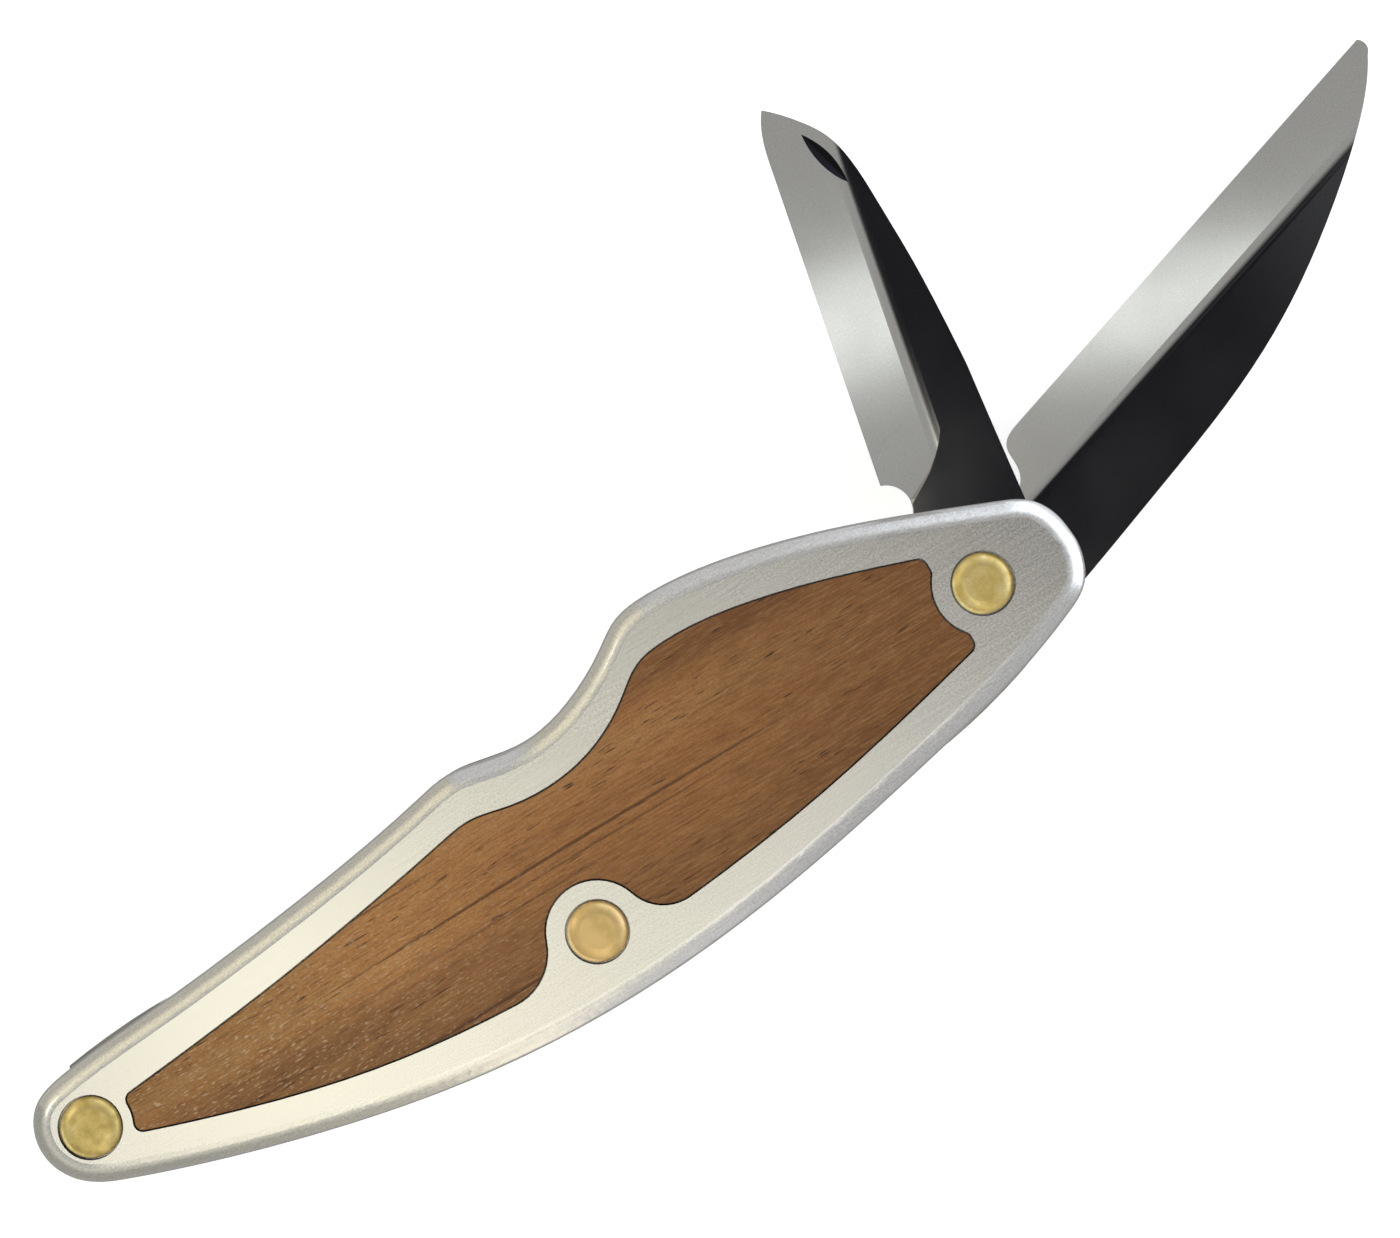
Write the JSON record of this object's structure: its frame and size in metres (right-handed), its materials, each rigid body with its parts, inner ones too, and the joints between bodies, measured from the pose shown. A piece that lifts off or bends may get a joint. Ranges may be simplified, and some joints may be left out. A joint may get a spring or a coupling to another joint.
{
  "type": "whittling knife",
  "caption": "Folding slip-joint whittling knife: roughing blade and smaller detail blade on one pivot, curved satin aluminium handle, flush walnut inlays, brass rivets.",
  "frame": {"origin": "on the axis of the pivot rivet, in the plane of the rear scale's flat outer face", "axes": "+X from the tail rivet towards the pivot, +Y towards the side the blades fold into, +Z from the rear scale to the front scale; roughing blade fully open, detail blade at half stop"},
  "size_m": [0.1561, 0.063, 0.0129],
  "materials": {
    "satin_aluminium": "satin",
    "walnut": "oiled",
    "spring_steel": "satin",
    "blade_steel": "polished",
    "brass": "polished",
    "bronze": "satin"
  },
  "bodies": {
    "handle": {"front_scale": "satin_aluminium", "rear_scale": "satin_aluminium", "front_inlay": "walnut", "rear_inlay": "walnut", "detail_spring": "spring_steel", "roughing_spring": "spring_steel", "centre_divider": "spring_steel", "pivot_rivet_sleeve": "brass", "pivot_rivet_stud": "brass", "middle_rivet_sleeve": "brass", "middle_rivet_stud": "brass", "tail_rivet_sleeve": "brass", "tail_rivet_stud": "brass", "rear_outer_washer": "bronze", "rear_inner_washer": "bronze", "front_inner_washer": "bronze", "front_outer_washer": "bronze"},
    "roughing_blade": {"roughing_blade": "blade_steel"},
    "detail_blade": {"detail_blade": "blade_steel"}
  },
  "joints": [
    {"name": "roughing_blade_pivot", "type": "hinge", "parent": "handle", "child": "roughing_blade", "pos_m": [0, 0, 0.00505], "axis": [0, 0, 1], "range_deg": [0, 150], "deforming": ["roughing_spring"]},
    {"name": "detail_blade_pivot", "type": "hinge", "parent": "handle", "child": "detail_blade", "pos_m": [0, 0, 0.00785], "axis": [0, 0, 1], "range_deg": [-64, 86], "deforming": ["detail_spring"]}
  ]
}
